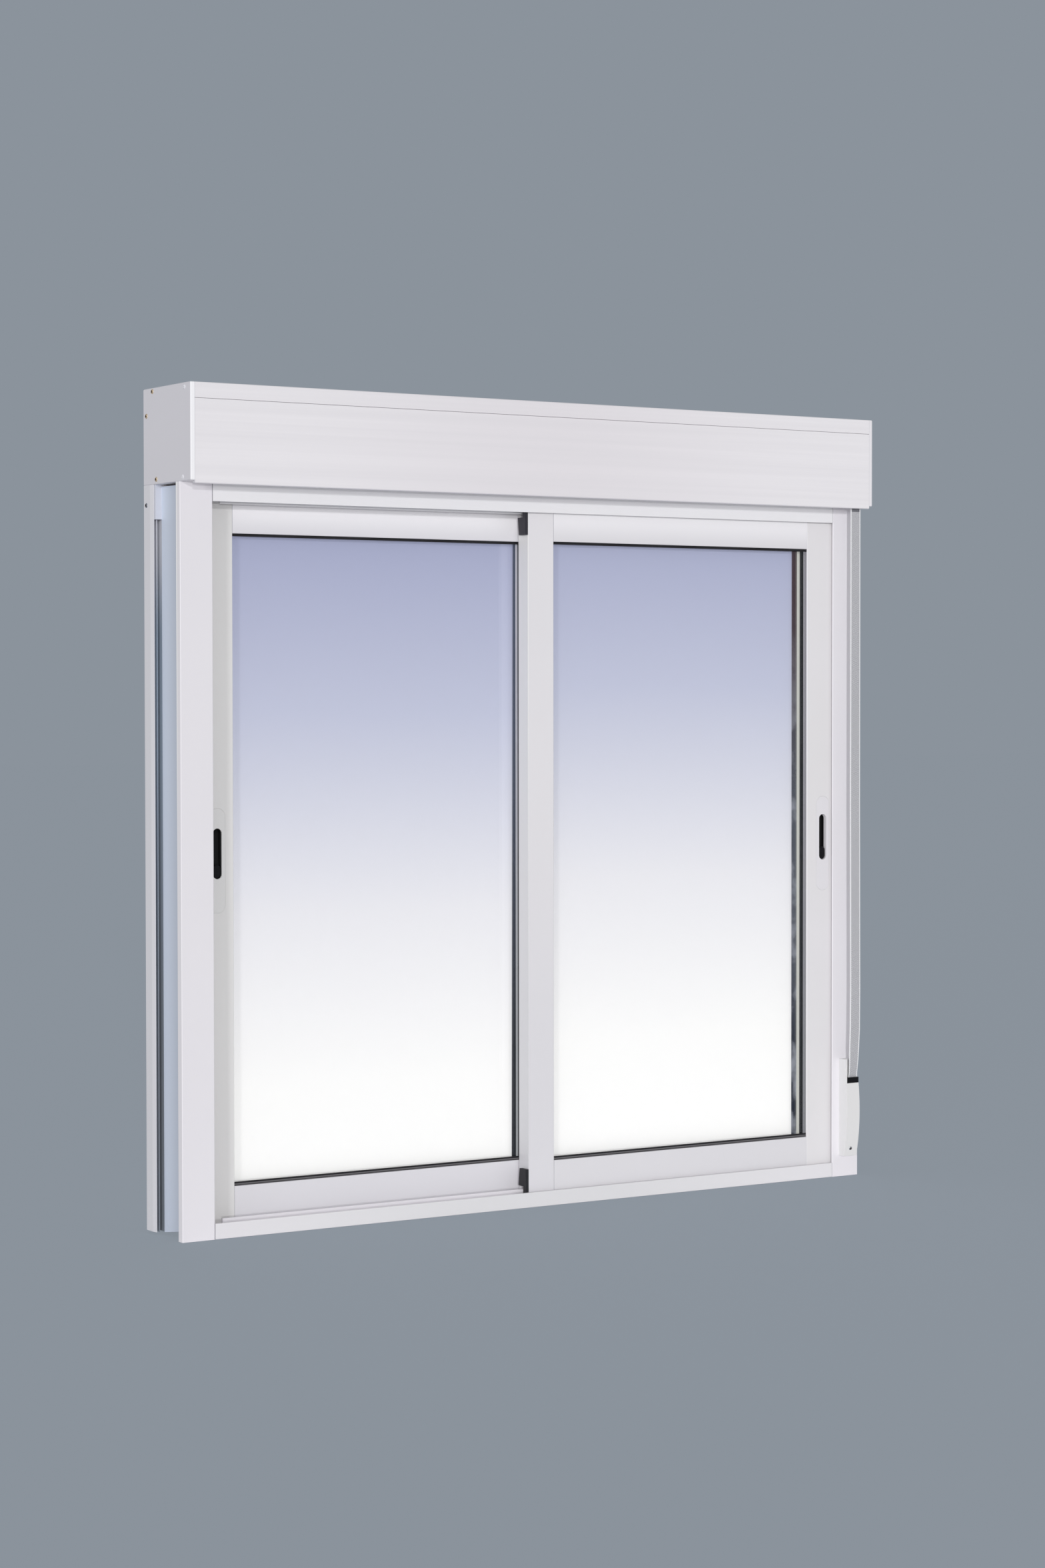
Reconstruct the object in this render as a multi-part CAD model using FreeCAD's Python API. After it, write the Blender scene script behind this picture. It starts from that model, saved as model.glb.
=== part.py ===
import FreeCAD, Part
import math
import os

# Horizontal sliding window of extruded aluminium with a roller shutter box on top.
# Millimetres. X runs to the right seen from the room, Y outward through the wall, Z up.
# The origin is on the sill's underside, at mid width, in the plane where the flange meets the wall.

# Whole window
window_width = 1200.0
window_height = 1200.0

# Shutter box
box_height = 136.0
box_depth = 149.0
box_overhang = 35.0
box_panel = 4.0
box_end = 6.0
box_strip = 22.0
box_tongue = 6.0
box_seam = 0.5
box_edge = 0.8
seam_radius = 0.35
box_radius = 2.0
lid_drop = 4.0
lid_hook = 2.0
slat_exit = 19.0

# Frame profiles
profile_wall = 2.0
flange_width = 51.0
flange_return = 12.0
web_recess = 12.0
jamb_chamber = 19.2
jamb_rib_reach = 13.0
jamb_top_gap = 3.0
jamb_foot_front = 13.5
jamb_foot_back = 3.0
track_rib = 3.0
edge_radius = 1.0
lip_radius = 0.7
sill_lip = 22.5
sill_base = 10.0
sill_rail = 25.5
sill_back_lip = 18.0
sill_nose = 9.0
head_lip = 26.0
head_base = 8.0
head_rail = 28.0
rail_setback = 21.5

# Shutter guides behind the frame
guide_depth = 33.0
guide_facet = 12.5
guide_facet_step = 1.2
guide_lip_setback = 3.5
guide_foot = 3.0
slat_channel = 14.0
slat_channel_depth = 27.0
guide_chamber = 12.0
guide_chamber_depth = 18.0
guide_chamber_rib = 1.5
guide_chamber_rib_depth = 10.0
plug_height = 49.0
plug_clearance = 0.3

# Last slat of the raised shutter
slat_thickness = 9.0
slat_below_box = 40.0
slat_in_box = 15.0
slat_end_play = 4.0
slat_wall = 1.2
slat_stop_width = 30.0
slat_stop_height = 14.0
slat_stop_inset = 160.0

# Sashes
sash_depth = 27.0
sash_clearance = 5.0
sash_shift = 2.8
front_meeting_stile = 45.6
back_meeting_stile = 40.5
outer_stile = 60.5
top_rail = 55.0
bottom_rail = 51.5
stile_channel = 13.0
top_channel = 20.0
bottom_channel = 32.5

# Double glazing
pane_thickness = 4.0
pane_space = 8.0
glass_cover = 8.5
glazing_pocket = 11.0
gasket_foot_show = 5.4
gasket_head_show = 3.9
gasket_jamb_recess = 3.0
spacer_setback = 4.0
spacer_jamb_setback = 5.75

# Rollers
roller_radius = 9.0
roller_flange = 2.0
roller_width = 8.0
roller_groove_play = 0.4
roller_seat = 0.3
axle_radius = 3.0
axle_play = 0.1
roller_inset = 60.0
carriage_length = 56.0
carriage_width = 18.0
carriage_drop = 6.0
carriage_slot_play = 1.5

# Flush pulls
pull_height = 531.5
pull_length = 149.0
pull_width = 25.0
pull_plate = 1.2
pull_slot_length = 72.0
pull_slot_width = 14.0
pull_slot_rise = 10.0
pull_slot_depth = 12.0
pull_wall = 1.5
pull_fit = 0.2
right_pull_inset = 29.3
left_pull_inset = 34.9
latch_length = 20.0
latch_play = 0.8
latch_recess = 1.5
latch_seat = 0.3
latch_rim = 1.2

# Wind stops at the ends of the meeting stiles
stop_reach = 5.0
stop_depth = 20.5
stop_tip_depth = 17.5
stop_low_height = 41.5
stop_high_height = 46.0

# Shutter strap and its winder on the right-hand flange
strap_width = 16.0
strap_thickness = 1.2
strap_top_inset = 24.5
strap_top_depth = 24.0
strap_foot_inset = 22.6
strap_foot_depth = 15.0
strap_foot_height = 140.0
strap_in_box = 12.0
strap_play = 0.5
bush_length = 21.0
bush_width = 5.0
bush_rim = 0.6
bush_rim_height = 1.6
winder_inset = 37.7
winder_width = 24.7
winder_foot = 33.5
winder_height = 154.5
winder_foot_depth = 13.5
winder_belly_depth = 22.0
winder_belly_rise = 68.0
winder_front_depth = 19.0
winder_shoulder = 116.5
winder_ear = 1.75
winder_channel_depth = 11.0
winder_slot_depth = 12.0
mouth_height = 9.0
mouth_fit = 0.1

# Planes that several pieces share
half_width = window_width / 2
frame_top = window_height - box_height
face_y = -flange_return
front_sash_y = face_y + profile_wall + sash_clearance
back_sash_y = front_sash_y + sash_depth + sash_clearance
frame_back = back_sash_y + sash_depth + sash_clearance + profile_wall
box_front = face_y - box_overhang
box_back = box_front + box_depth
guide_front = box_back - guide_depth
jamb_inner = web_recess + jamb_chamber
opening_half = half_width - flange_width
sash_edge = half_width - jamb_inner - sash_clearance - sash_shift
sash_low = sill_base + sash_clearance
sash_high = frame_top - head_base - sash_clearance
glass_low = sash_low + bottom_rail
glass_high = sash_high - top_rail
unit_thickness = 2 * pane_thickness + pane_space
gasket_thickness = (sash_depth - 2 * profile_wall - unit_thickness) / 2
track_centres = [front_sash_y + sash_depth / 2, back_sash_y + sash_depth / 2]
panel_end = half_width - box_end
winder_left_x = half_width - winder_inset


def corner_arc(before, corner, after, radius):
    """Start, middle and end of the arc that rounds one corner of an outline."""
    to_before = (before - corner).normalize()
    to_after = (after - corner).normalize()
    half_angle = to_before.getAngle(to_after) / 2
    reach = radius / math.tan(half_angle)
    bisector = (to_before + to_after).normalize()
    middle = corner + bisector * (radius / math.sin(half_angle) - radius)
    return corner + to_before * reach, middle, corner + to_after * reach


def outline_wire(corners, place):
    """Closed wire through corners (a, b) or (a, b, radius), with place giving each its point in space."""
    points = [place(corner[0], corner[1]) for corner in corners]
    stretches = []
    for i, corner in enumerate(corners):
        point = points[i]
        if len(corner) > 2:
            stretches.append(corner_arc(points[i - 1], point, points[(i + 1) % len(points)], corner[2]))
        else:
            stretches.append((point, None, point))
    edges = []
    for i, (start, middle, end) in enumerate(stretches):
        last = stretches[i - 1][2]
        if last.distanceToPoint(start) > 1e-6:
            edges.append(Part.LineSegment(last, start).toShape())
        if middle is not None:
            edges.append(Part.Arc(start, middle, end).toShape())
    return Part.Wire(edges)


def bar(outer, holes, place, travel):
    """Extrusion of an outline with hollow chambers, along the vector travel."""
    wires = [outline_wire(corners, place) for corners in [outer] + holes]
    face = Part.makeFace(wires, "Part::FaceMakerBullseye")
    return face.extrude(travel).Solids[0]


def block(low, high):
    """Rectangular solid between two opposite corners, given in any order."""
    corner = FreeCAD.Vector(*[min(a, b) for a, b in zip(low, high)])
    size = [abs(a - b) for a, b in zip(low, high)]
    return Part.makeBox(*size, corner)


def rectangle(low_a, low_b, high_a, high_b):
    return [(low_a, low_b), (high_a, low_b), (high_a, high_b), (low_a, high_b)]


def oblong(length, width, thickness, centre):
    """Upright plate with round ends in the X-Z plane, from the centre of its front face backward."""
    radius = width / 2
    straight = length / 2 - radius
    x, y, z = centre
    right_low = FreeCAD.Vector(x + radius, y, z - straight)
    right_high = FreeCAD.Vector(x + radius, y, z + straight)
    left_low = FreeCAD.Vector(x - radius, y, z - straight)
    left_high = FreeCAD.Vector(x - radius, y, z + straight)
    top = FreeCAD.Vector(x, y, z + length / 2)
    foot = FreeCAD.Vector(x, y, z - length / 2)
    edges = [
        Part.LineSegment(right_low, right_high).toShape(),
        Part.Arc(right_high, top, left_high).toShape(),
        Part.LineSegment(left_high, left_low).toShape(),
        Part.Arc(left_low, foot, right_low).toShape(),
    ]
    return Part.Face(Part.Wire(edges)).extrude(FreeCAD.Vector(0, thickness, 0))


def save(name, *solids):
    """Write one node, of one solid or of several that stand apart."""
    shape = solids[0] if len(solids) == 1 else Part.makeCompound(solids)
    shape.exportStep(f"parts/{name}.step")


def make_jamb(side):
    """Upright frame profile: room flange, hollow chamber cut back at both ends, sash ribs and a back lip."""
    def place(inset, y):
        return FreeCAD.Vector(side * (half_width - inset), y, 0)

    rib_tip = jamb_inner + jamb_rib_reach
    front_plate = face_y + profile_wall
    outer = [
        (0, face_y, edge_radius),
        (0, 0),
        (profile_wall, 0),
        (profile_wall, front_plate),
        (web_recess, front_plate),
        (web_recess, guide_front),
        (jamb_inner, guide_front),
        (jamb_inner, frame_back),
        (flange_width, frame_back),
        (flange_width, frame_back - profile_wall),
        (jamb_inner, frame_back - profile_wall),
    ]
    for centre in reversed(track_centres):
        outer.append((jamb_inner, centre + track_rib / 2))
        outer.append((rib_tip, centre + track_rib / 2))
        outer.append((rib_tip, centre - track_rib / 2))
        outer.append((jamb_inner, centre - track_rib / 2))
    outer.append((jamb_inner, front_plate))
    outer.append((flange_width, front_plate))
    outer.append((flange_width, face_y, edge_radius))
    chamber_low = web_recess + profile_wall
    chamber_high = jamb_inner - profile_wall
    divider = (track_centres[0] + track_centres[1]) / 2
    holes = [
        rectangle(chamber_low, front_plate, chamber_high, divider - profile_wall / 2),
        rectangle(chamber_low, divider + profile_wall / 2, chamber_high, guide_front - profile_wall),
    ]
    jamb = bar(outer, holes, place, FreeCAD.Vector(0, 0, frame_top))
    top_low = (side * half_width, 0, frame_top - jamb_top_gap)
    top_gap = block(top_low, (side * opening_half, guide_front, frame_top))

    def foot_place(y, z):
        return FreeCAD.Vector(side * half_width, y, z)

    foot = [(0, 0), (guide_front, 0), (guide_front, jamb_foot_back), (0, jamb_foot_front)]
    foot_gap = bar(foot, [], foot_place, FreeCAD.Vector(-side * flange_width, 0, 0))
    return jamb.cut(top_gap).cut(foot_gap).Solids[0]


def make_sill():
    """Bottom frame profile: front lip, hollow base, two running rails and a sloping nose outside."""
    def place(y, z):
        return FreeCAD.Vector(-opening_half, y, z)

    front_plate = face_y + profile_wall
    outer = [
        (face_y, 0, edge_radius),
        (face_y, sill_lip, lip_radius),
        (front_plate, sill_lip, lip_radius),
        (front_plate, sill_base),
        (frame_back - profile_wall, sill_base),
        (frame_back - profile_wall, sill_back_lip),
        (frame_back, sill_back_lip),
        (box_back, sill_nose),
        (box_back, 0),
    ]
    holes = [
        rectangle(front_plate, profile_wall, frame_back - profile_wall, sill_base - profile_wall),
        [
            (frame_back, profile_wall),
            (box_back - profile_wall, profile_wall),
            (box_back - profile_wall, sill_nose - profile_wall),
            (frame_back, sill_back_lip - profile_wall),
        ],
    ]
    sill = bar(outer, holes, place, FreeCAD.Vector(2 * opening_half, 0, 0))
    rail_end = opening_half - rail_setback
    for centre in track_centres:
        low = (-rail_end, centre - track_rib / 2, sill_base)
        high = (rail_end, centre + track_rib / 2, sill_rail)
        sill = sill.fuse(block(low, high))
    return sill.removeSplitter().Solids[0]


def make_head():
    """Top frame profile: hollow base under the box, lips in front and behind, and two guide ribs."""
    def place(y, z):
        return FreeCAD.Vector(-opening_half, y, frame_top - z)

    front_plate = face_y + profile_wall
    back_plate = frame_back - profile_wall
    outer = [
        (face_y, 0),
        (face_y, head_lip, lip_radius),
        (front_plate, head_lip, lip_radius),
        (front_plate, head_base),
        (back_plate, head_base),
        (back_plate, head_lip),
        (frame_back, head_lip),
        (frame_back, 0),
    ]
    holes = [rectangle(front_plate, profile_wall, back_plate, head_base - profile_wall)]
    head = bar(outer, holes, place, FreeCAD.Vector(2 * opening_half, 0, 0))
    rail_end = opening_half - rail_setback
    for centre in track_centres:
        low = (-rail_end, centre - track_rib / 2, frame_top - head_rail)
        high = (rail_end, centre + track_rib / 2, frame_top - head_base)
        head = head.fuse(block(low, high))
    return head.removeSplitter().Solids[0]


def make_guide(side):
    """Shutter guide behind the jamb: a slat channel open to the middle and a chamber open to the front."""
    def place(inset, y):
        return FreeCAD.Vector(side * (half_width - inset), y, guide_foot)

    lip_front = guide_front + guide_lip_setback
    channel_low = guide_front + (guide_depth - slat_channel) / 2
    channel_high = channel_low + slat_channel
    channel_floor = flange_width - slat_channel_depth
    chamber_high = profile_wall + guide_chamber
    chamber_floor = guide_front + guide_chamber_depth
    rib_centre = profile_wall + guide_chamber / 2
    outer = [
        (guide_facet_step, lip_front),
        (0, guide_front + guide_facet),
        (0, box_back, edge_radius),
        (flange_width, box_back, edge_radius),
        (flange_width, channel_high),
        (channel_floor, channel_high),
        (channel_floor, channel_low),
        (flange_width, channel_low),
        (flange_width, guide_front),
        (chamber_high, guide_front),
        (chamber_high, chamber_floor),
        (rib_centre + guide_chamber_rib / 2, chamber_floor),
        (rib_centre + guide_chamber_rib / 2, chamber_floor - guide_chamber_rib_depth),
        (rib_centre - guide_chamber_rib / 2, chamber_floor - guide_chamber_rib_depth),
        (rib_centre - guide_chamber_rib / 2, chamber_floor),
        (profile_wall, chamber_floor),
        (profile_wall, lip_front),
    ]
    back_low = max(channel_high, chamber_floor) + profile_wall
    holes = [
        rectangle(
            chamber_high + profile_wall,
            guide_front + profile_wall,
            flange_width - profile_wall,
            channel_low - profile_wall,
        ),
        rectangle(profile_wall, back_low, flange_width - profile_wall, box_back - profile_wall),
    ]
    return bar(outer, holes, place, FreeCAD.Vector(0, 0, frame_top - guide_foot))


def make_guide_plug(side):
    """Moulded tongue under the box end that plugs into the guide's open chamber."""
    low_inset = profile_wall + plug_clearance
    high_inset = profile_wall + guide_chamber - plug_clearance
    tongue_back = guide_front + guide_chamber_depth - guide_chamber_rib_depth - plug_clearance
    low = (side * (half_width - low_inset), guide_front, frame_top - plug_height)
    high = (side * (half_width - high_inset), tongue_back, frame_top)
    return block(low, high)


def make_box_panels():
    """Long panels of the shutter box: top with its front strip, lid, underside and back."""
    travel = FreeCAD.Vector(2 * panel_end, 0, 0)
    lid_back = box_front + box_panel
    strip_low = window_height - box_strip

    def place(y, z):
        return FreeCAD.Vector(-panel_end, y, z)

    top = [
        (box_front, strip_low, seam_radius),
        (box_front, window_height, box_radius),
        (box_back, window_height, box_radius),
        (box_back, window_height - box_panel),
        (lid_back + box_panel, window_height - box_panel),
        (lid_back + box_panel, strip_low - box_tongue),
        (lid_back, strip_low - box_tongue),
        (lid_back, strip_low),
    ]
    lid = [
        (box_front, frame_top - lid_drop, box_radius),
        (lid_back + lid_hook, frame_top - lid_drop, lip_radius),
        (lid_back + lid_hook, frame_top),
        (lid_back, frame_top),
        (lid_back, strip_low - box_seam),
        (box_front, strip_low - box_seam, seam_radius),
    ]
    floor = rectangle(lid_back, frame_top, box_back - box_panel - slat_exit, frame_top + box_panel)
    back = rectangle(box_back - box_panel, frame_top, box_back, window_height - box_panel)
    return [bar(section, [], place, travel) for section in (top, lid, floor, back)]


def make_box_end(side):
    """End cap of the shutter box, a flat moulding with a bevelled rim over the ends of the panels."""
    def place(y, z):
        return FreeCAD.Vector(side * panel_end, y, z)

    outer = [
        (box_front, frame_top, box_radius),
        (box_back, frame_top, box_radius),
        (box_back, window_height, box_radius),
        (box_front, window_height, box_radius),
    ]
    cap = bar(outer, [], place, FreeCAD.Vector(side * box_end, 0, 0))
    rim = [edge for edge in cap.Edges if abs(edge.BoundBox.Center.x - side * half_width) < 1e-6]
    return cap.makeChamfer(box_edge, rim).Solids[0]


def make_end_slat():
    """Lowest slat of the raised shutter, with two stops that rest under the back of the box."""
    centre = guide_front + guide_depth / 2
    end = half_width - flange_width + slat_channel_depth - slat_end_play
    low_z = frame_top - slat_below_box
    high_z = frame_top + slat_in_box
    front = centre - slat_thickness / 2
    back = centre + slat_thickness / 2

    def place(y, z):
        return FreeCAD.Vector(-end, y, z)

    outer = [
        (front, low_z, slat_wall),
        (back, low_z, slat_wall),
        (back, high_z, slat_thickness / 3),
        (front, high_z, slat_thickness / 3),
    ]
    hole = rectangle(front + slat_wall, low_z + slat_wall, back - slat_wall, high_z - slat_thickness / 3)
    slat = bar(outer, [hole], place, FreeCAD.Vector(2 * end, 0, 0))
    for side in (-1, 1):
        inner_x = side * (half_width - slat_stop_inset)
        low = (inner_x - slat_stop_width / 2, back - slat_wall, frame_top - slat_stop_height)
        high = (inner_x + slat_stop_width / 2, box_back, frame_top)
        slat = slat.fuse(block(low, high))
    return slat.removeSplitter().Solids[0]


def sash_section(width, channel):
    """Section of a sash bar: a track channel outside, a hollow chamber and the glazing pocket inside."""
    near = profile_wall
    far = sash_depth - profile_wall
    outer = [
        (0, 0, edge_radius),
        (width, 0, edge_radius),
        (width, near),
        (width - glazing_pocket, near),
        (width - glazing_pocket, far),
        (width, far),
        (width, sash_depth, edge_radius),
        (0, sash_depth, edge_radius),
    ]
    if channel > 0:
        outer += [(0, far), (channel, far), (channel, near), (0, near)]
    chamber = rectangle(channel + profile_wall, near, width - glazing_pocket - profile_wall, far)
    return outer, [chamber]


def cut_rail_notches(stile, low_x, high_x, y):
    """Clear the running rails at both ends of a stile, between its front and back walls."""
    near = y + profile_wall
    far = y + sash_depth - profile_wall
    foot = block((low_x, near, sash_low), (high_x, far, sill_rail + sash_clearance))
    head = block((low_x, near, frame_top - head_rail - sash_clearance), (high_x, far, sash_high))
    return stile.cut(foot).cut(head).Solids[0]


def sash_x(side, reach):
    """X of a point of a sash, from its reach towards its own jamb."""
    return sash_shift + side * reach


def meeting_reach(side):
    """Reach of the sight line beside the meeting stile, which is narrower on the sash behind."""
    width = front_meeting_stile if side > 0 else back_meeting_stile
    return width - front_meeting_stile / 2


def make_outer_stile(side, y, pull_x):
    """Stile at the jamb, with the shallow bed and the hole for the flush pull."""
    def place(inset, depth):
        return FreeCAD.Vector(sash_x(side, sash_edge - inset), y + depth, sash_low)

    outer, holes = sash_section(outer_stile, stile_channel)
    stile = bar(outer, holes, place, FreeCAD.Vector(0, 0, sash_high - sash_low))
    stile = cut_rail_notches(stile, sash_x(side, sash_edge), sash_x(side, sash_edge - outer_stile), y)
    cup_length = pull_slot_length + 2 * (pull_wall + pull_fit)
    cup_width = pull_slot_width + 2 * (pull_wall + pull_fit)
    hole = oblong(cup_length, cup_width, profile_wall, (pull_x, y, pull_height + pull_slot_rise))
    bed = oblong(pull_length + 2 * pull_fit, pull_width + 2 * pull_fit, pull_plate, (pull_x, y, pull_height))
    return stile.cut(bed).cut(hole).Solids[0]


def make_meeting_stile(side, y):
    """Closed stile at the middle of the window."""
    free_reach = -front_meeting_stile / 2

    def place(inset, depth):
        return FreeCAD.Vector(sash_x(side, free_reach + inset), y + depth, sash_low)

    outer, holes = sash_section(meeting_reach(side) - free_reach, 0)
    stile = bar(outer, holes, place, FreeCAD.Vector(0, 0, sash_high - sash_low))
    return cut_rail_notches(stile, sash_x(side, free_reach), sash_x(side, meeting_reach(side)), y)


def make_rail(side, y, height, channel, edge_z, direction):
    """Top or bottom rail between the stiles, growing from its open edge in the given direction."""
    start = sash_x(side, meeting_reach(side))
    length = sash_edge - outer_stile - meeting_reach(side)

    def place(rise, depth):
        return FreeCAD.Vector(start, y + depth, edge_z + direction * rise)

    outer, holes = sash_section(height, channel)
    return bar(outer, holes, place, FreeCAD.Vector(side * length, 0, 0))


def glass_block(side, y, margins, depth, thickness):
    """Upright sheet that passes the sight lines by the margins at meeting stile, jamb, foot and head."""
    at_meeting, at_jamb, at_foot, at_head = margins
    low_x = sash_x(side, meeting_reach(side) - at_meeting)
    high_x = sash_x(side, sash_edge - outer_stile + at_jamb)
    low = (low_x, y + depth, glass_low - at_foot)
    high = (high_x, y + depth + thickness, glass_high + at_head)
    return block(low, high)


def ring(side, y, inner_margins, depth, thickness):
    """Rectangular frame round the glass, from the pane's edge to the inner margins."""
    outer = glass_block(side, y, [glass_cover] * 4, depth, thickness)
    return outer.cut(glass_block(side, y, inner_margins, depth, thickness)).Solids[0]


def roller_places(side):
    near_meeting = sash_x(side, meeting_reach(side) + roller_inset)
    near_jamb = sash_x(side, sash_edge - outer_stile - roller_inset)
    return [near_meeting, near_jamb]


def make_roller(x, y):
    """Grooved wheel that runs on a sill rail."""
    axle_z = sill_rail + roller_seat + roller_radius
    centre_y = y + sash_depth / 2
    bore = axle_radius + axle_play
    half = roller_width / 2
    groove = track_rib / 2 + roller_groove_play
    rim = roller_radius + roller_flange

    def place(across, radius):
        return FreeCAD.Vector(x, centre_y + across, axle_z + radius)

    section = [
        (-half, bore),
        (-half, rim),
        (-groove - roller_groove_play, rim),
        (-groove, roller_radius),
        (groove, roller_radius),
        (groove + roller_groove_play, rim),
        (half, rim),
        (half, bore),
    ]
    face = Part.Face(outline_wire(section, place))
    return face.revolve(FreeCAD.Vector(x, centre_y, axle_z), FreeCAD.Vector(0, 1, 0), 360)


def make_carriage(x, y):
    """Roller housing under the rail's ceiling, open round its wheel, with the axle across it."""
    axle_z = sill_rail + roller_seat + roller_radius
    centre_y = y + sash_depth / 2
    ceiling = sash_low + bottom_channel
    half = carriage_width / 2
    low = (x - carriage_length / 2, centre_y - half, axle_z - carriage_drop)
    high = (x + carriage_length / 2, centre_y + half, ceiling)
    slot_x = roller_radius + roller_flange + carriage_slot_play
    slot_y = roller_width / 2 + carriage_slot_play
    slot = block((x - slot_x, centre_y - slot_y, low[2]), (x + slot_x, centre_y + slot_y, ceiling))
    foot = FreeCAD.Vector(x, centre_y - half, axle_z)
    axle = Part.makeCylinder(axle_radius, carriage_width, foot, FreeCAD.Vector(0, 1, 0))
    return block(low, high).cut(slot).fuse(axle).removeSplitter().Solids[0]


def make_pull(x, y):
    """Flush pull: an oblong face plate level with the stile's face, and a finger cup behind it."""
    slot_z = pull_height + pull_slot_rise
    plate = oblong(pull_length, pull_width, pull_plate, (x, y, pull_height))
    cup_length = pull_slot_length + 2 * pull_wall
    cup_width = pull_slot_width + 2 * pull_wall
    cup = oblong(cup_length, cup_width, pull_slot_depth + pull_wall, (x, y, slot_z))
    slot = oblong(pull_slot_length, pull_slot_width, pull_slot_depth, (x, y, slot_z))
    return plate.fuse(cup).cut(slot).removeSplitter().Solids[0]


def make_latch(x, y):
    """Thumb slider at the foot of the finger slot, with a chamfered front rim."""
    width = pull_slot_width - 2 * latch_play
    foot_z = pull_height + pull_slot_rise - pull_slot_length / 2 + latch_play
    depth = pull_slot_depth - latch_recess - latch_seat
    latch = oblong(latch_length, width, depth, (x, y + latch_recess, foot_z + latch_length / 2))
    rim = [edge for edge in latch.Edges if edge.BoundBox.YMax < y + latch_recess + 1e-6]
    return latch.makeChamfer(latch_rim, rim).Solids[0]


def make_wind_stops(side, y):
    """Two tapered blocks on the free edge of the meeting stile, notched behind for the running rails."""
    free_x = sash_x(side, -front_meeting_stile / 2)
    leg_y = y + sash_depth / 2 - track_rib / 2 - sash_clearance

    def place(back, z):
        return FreeCAD.Vector(free_x, back, z)

    def stop(end_z, notch_z, tip_z):
        outer = [
            (y, end_z),
            (leg_y, end_z),
            (leg_y, notch_z),
            (y + stop_depth, notch_z),
            (y + stop_tip_depth, tip_z),
            (y, tip_z),
        ]
        return bar(outer, [], place, FreeCAD.Vector(-side * stop_reach, 0, 0))

    low_stop = stop(sash_low, sill_rail + sash_clearance, sash_low + stop_low_height)
    high_stop = stop(sash_high, frame_top - head_rail - sash_clearance, sash_high - stop_high_height)
    return [low_stop, high_stop]


def save_sash(name, side, y, pull_inset):
    """All the pieces of one sash, with side -1 for the left half and +1 for the right."""
    pull_x = sash_x(side, sash_edge - pull_inset)
    pane_front = profile_wall + gasket_thickness
    gap_front = pane_front + pane_thickness
    back_pane = gap_front + pane_space
    back_gasket = back_pane + pane_thickness
    cover = [glass_cover] * 4
    spacer_edge = [spacer_setback, spacer_jamb_setback, spacer_setback, spacer_setback]
    gasket_edge = [0, gasket_jamb_recess, -gasket_foot_show, -gasket_head_show]
    save(f"{name}_outer_stile", make_outer_stile(side, y, pull_x))
    save(f"{name}_meeting_stile", make_meeting_stile(side, y))
    save(f"{name}_top_rail", make_rail(side, y, top_rail, top_channel, sash_high, -1))
    save(f"{name}_bottom_rail", make_rail(side, y, bottom_rail, bottom_channel, sash_low, 1))
    save(f"{name}_inner_pane", glass_block(side, y, cover, pane_front, pane_thickness))
    save(f"{name}_outer_pane", glass_block(side, y, cover, back_pane, pane_thickness))
    save(f"{name}_spacer", ring(side, y, spacer_edge, gap_front, pane_space))
    front_gasket = ring(side, y, gasket_edge, profile_wall, gasket_thickness)
    rear_gasket = ring(side, y, gasket_edge, back_gasket, gasket_thickness)
    save(f"{name}_gaskets", front_gasket, rear_gasket)
    save(f"{name}_rollers", *[make_roller(x, y) for x in roller_places(side)])
    save(f"{name}_roller_carriages", *[make_carriage(x, y) for x in roller_places(side)])
    save(f"{name}_pull", make_pull(pull_x, y))
    save(f"{name}_latch", make_latch(pull_x, y))
    save(f"{name}_wind_stops", *make_wind_stops(side, y))


def strap_point(z):
    """Centre of the strap at a height: it runs straight from the box to the winder."""
    share = (frame_top - z) / (frame_top - strap_foot_height)
    x = half_width - strap_top_inset + (strap_top_inset - strap_foot_inset) * share
    depth = strap_top_depth + (strap_foot_depth - strap_top_depth) * share
    return FreeCAD.Vector(x, face_y - depth, z)


def make_strap():
    """Woven lift strap, taut between the box and the winder."""
    top = strap_point(frame_top + strap_in_box)
    foot = strap_point(strap_foot_height)
    half_x = strap_width / 2
    half_y = strap_thickness / 2

    def place(x, y):
        return top + FreeCAD.Vector(x, y, 0)

    return bar(rectangle(-half_x, -half_y, half_x, half_y), [], place, foot - top)


def make_strap_bush():
    """Nylon bush in the underside of the box, with a thin rim below and a slot for the strap."""
    centre = strap_point(frame_top)
    rim_half_x = bush_length / 2
    rim_half_y = bush_width / 2
    neck_half_x = rim_half_x - bush_rim
    neck_half_y = rim_half_y - bush_rim
    slot_half_x = strap_width / 2 + strap_play
    slot_half_y = strap_thickness / 2 + strap_play
    low_z = frame_top - bush_rim_height
    high_z = frame_top + box_panel

    def around(half_x, half_y, from_z, to_z):
        low = (centre.x - half_x, centre.y - half_y, from_z)
        high = (centre.x + half_x, centre.y + half_y, to_z)
        return block(low, high)

    rim = around(rim_half_x, rim_half_y, low_z, frame_top)
    neck = around(neck_half_x, neck_half_y, frame_top, high_z)
    slot = around(slot_half_x, slot_half_y, low_z, high_z)
    return rim.fuse(neck).cut(slot).removeSplitter().Solids[0], neck


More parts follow.
